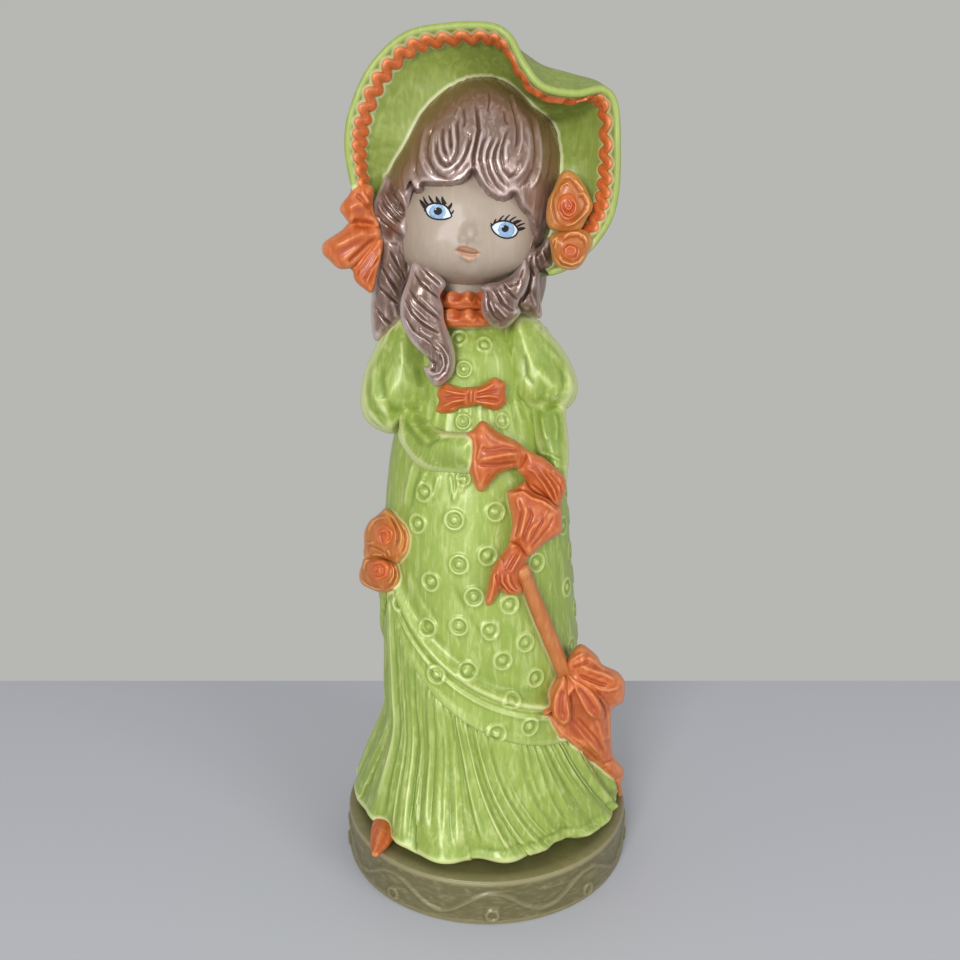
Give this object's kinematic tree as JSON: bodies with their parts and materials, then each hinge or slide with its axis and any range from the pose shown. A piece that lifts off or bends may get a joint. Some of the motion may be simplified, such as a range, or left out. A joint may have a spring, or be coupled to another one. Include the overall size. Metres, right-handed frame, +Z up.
{
  "type": "ceramic figurine",
  "caption": "Ceramic figurine of a girl in a wide bonnet and gathered dress, standing on a round plinth with gloved hands crossed over a closed parasol.",
  "frame": {"origin": "middle of the plinth's flat underside", "axes": "+Z up, the figure faces -Y, its right side is towards -X"},
  "size_m": [0.12, 0.12, 0.323],
  "materials": {
    "olive_base": "brushed olive paint, satin",
    "dress_lime": "pearl lime paint, satin, darker in the folds",
    "bonnet_lime": "pearl lime paint, satin",
    "orange": "orange paint, satin, brushed",
    "rose_orange": "light orange paint, satin",
    "bud_orange": "orange paint, satin",
    "hair": "pearl mauve-brown paint, glossy",
    "face": "flesh beige, glossy, painted eyes and lips",
    "ochre": "ochre orange paint, satin"
  },
  "bodies": {
    "root": {"plinth": "olive_base", "underskirt": "dress_lime", "overskirt_hem_band": "dress_lime", "overskirt": "dress_lime", "bodice": "dress_lime", "shoe_toe": "orange", "right_puff_sleeve": "dress_lime", "left_puff_sleeve": "dress_lime", "right_forearm": "dress_lime", "left_forearm": "dress_lime", "right_gauntlet": "orange", "right_hand": "orange", "left_gauntlet": "orange", "left_hand": "orange", "parasol_shaft": "ochre", "parasol_canopy": "orange", "parasol_tip": "ochre", "parasol_ribbon_left_loop": "orange", "parasol_ribbon_right_loop": "orange", "head": "face", "collar_lower_frill": "orange", "collar_upper_frill": "orange", "right_front_ringlet": "hair", "left_front_ringlet": "hair", "right_side_lock": "hair", "right_back_ringlet": "hair", "left_back_ringlet": "hair", "hair_cap": "hair", "back_hair": "hair", "bonnet_crown": "bonnet_lime", "bonnet_brim": "bonnet_lime", "bonnet_rickrack": "orange", "bonnet_bow_lower_loop": "orange", "bonnet_bow_upper_loop": "orange", "bonnet_bow_tail": "orange", "bonnet_rose_upper_petals": "rose_orange", "bonnet_rose_upper_bud": "bud_orange", "bonnet_rose_lower_petals": "rose_orange", "bonnet_rose_lower_bud": "bud_orange", "hip_rose_upper_petals": "rose_orange", "hip_rose_upper_bud": "bud_orange", "hip_rose_lower_petals": "rose_orange", "hip_rose_lower_bud": "bud_orange", "sash_bow_knot": "orange", "sash_bow_right_loop": "orange", "sash_bow_left_loop": "orange"}
  },
  "joints": []
}
